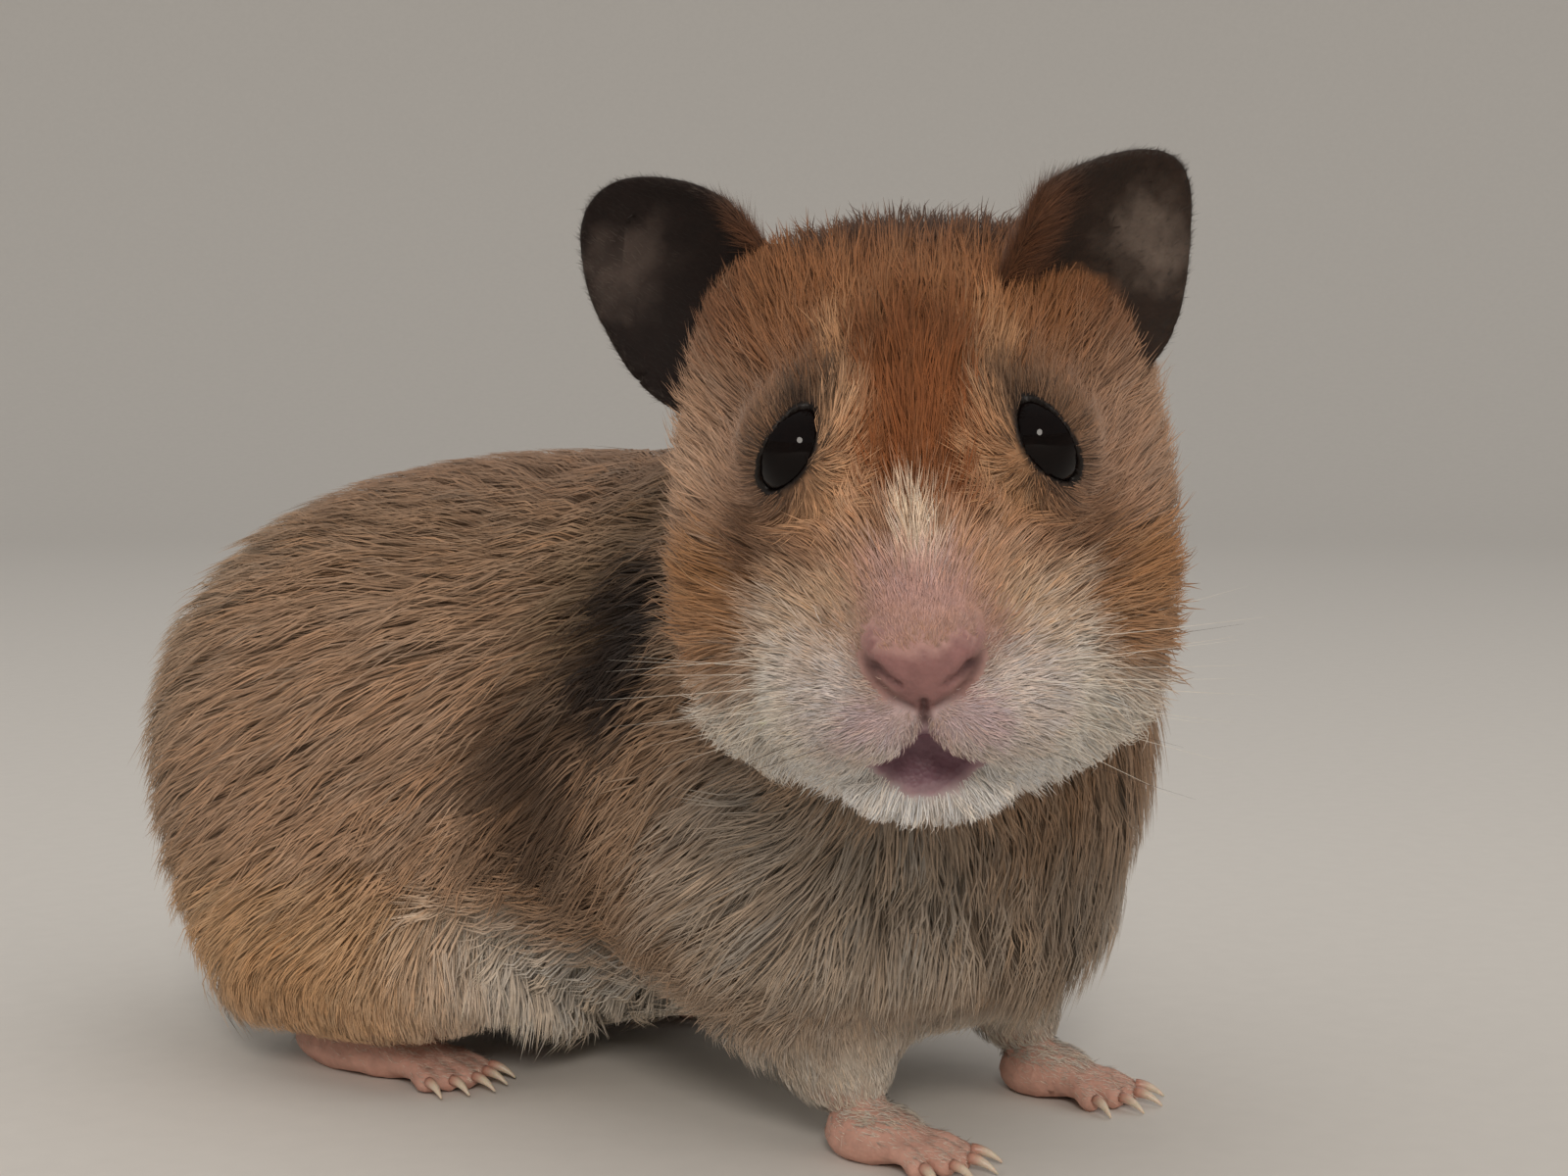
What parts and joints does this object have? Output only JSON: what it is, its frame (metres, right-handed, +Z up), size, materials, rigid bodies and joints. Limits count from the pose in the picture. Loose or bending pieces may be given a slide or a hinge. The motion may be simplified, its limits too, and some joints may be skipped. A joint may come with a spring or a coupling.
{
  "type": "syrian hamster",
  "caption": "Life-size golden Syrian hamster, a still display model standing on all fours with its head lifted and turned to its right.",
  "frame": {"origin": "on the floor, under the middle of the model's bounding box", "axes": "+Z up; +Y from the chest to the rump, along the trunk; +X towards the animal's left side"},
  "size_m": [0.0816, 0.132, 0.0801],
  "materials": {
    "coat_golden": "matte, golden brown agouti fur",
    "coat_rust": "matte, rust brown to cream fur of the head",
    "coat_cream": "matte, greyish white fur",
    "nose_skin": "moist, pink bare skin",
    "ear_skin": "satin, near-black bare skin",
    "paw_skin": "satin, pink skin under short pale hair",
    "claw_horn": "translucent pale horn",
    "eye_black": "wet gloss, near black"
  },
  "bodies": {
    "root": {"head": "coat_rust", "lower_jaw": "coat_cream", "nose": "nose_skin", "eye_left": "eye_black", "eye_right": "eye_black", "ear_left": "ear_skin", "ear_right": "ear_skin", "neck": "coat_golden", "trunk": "coat_golden", "tail": "coat_cream", "foreleg_left": "coat_golden", "foreleg_right": "coat_golden", "hindleg_left": "coat_golden", "hindleg_right": "coat_golden", "forepaw_left": "paw_skin", "forepaw_right": "paw_skin", "hindpaw_left": "paw_skin", "hindpaw_right": "paw_skin", "forepaw_left_claw_1": "claw_horn", "forepaw_left_claw_2": "claw_horn", "forepaw_left_claw_3": "claw_horn", "forepaw_left_claw_4": "claw_horn", "forepaw_right_claw_1": "claw_horn", "forepaw_right_claw_2": "claw_horn", "forepaw_right_claw_3": "claw_horn", "forepaw_right_claw_4": "claw_horn", "hindpaw_left_claw_1": "claw_horn", "hindpaw_left_claw_2": "claw_horn", "hindpaw_left_claw_3": "claw_horn", "hindpaw_left_claw_4": "claw_horn", "hindpaw_left_claw_5": "claw_horn", "hindpaw_right_claw_1": "claw_horn", "hindpaw_right_claw_2": "claw_horn", "hindpaw_right_claw_3": "claw_horn", "hindpaw_right_claw_4": "claw_horn", "hindpaw_right_claw_5": "claw_horn"}
  },
  "joints": []
}
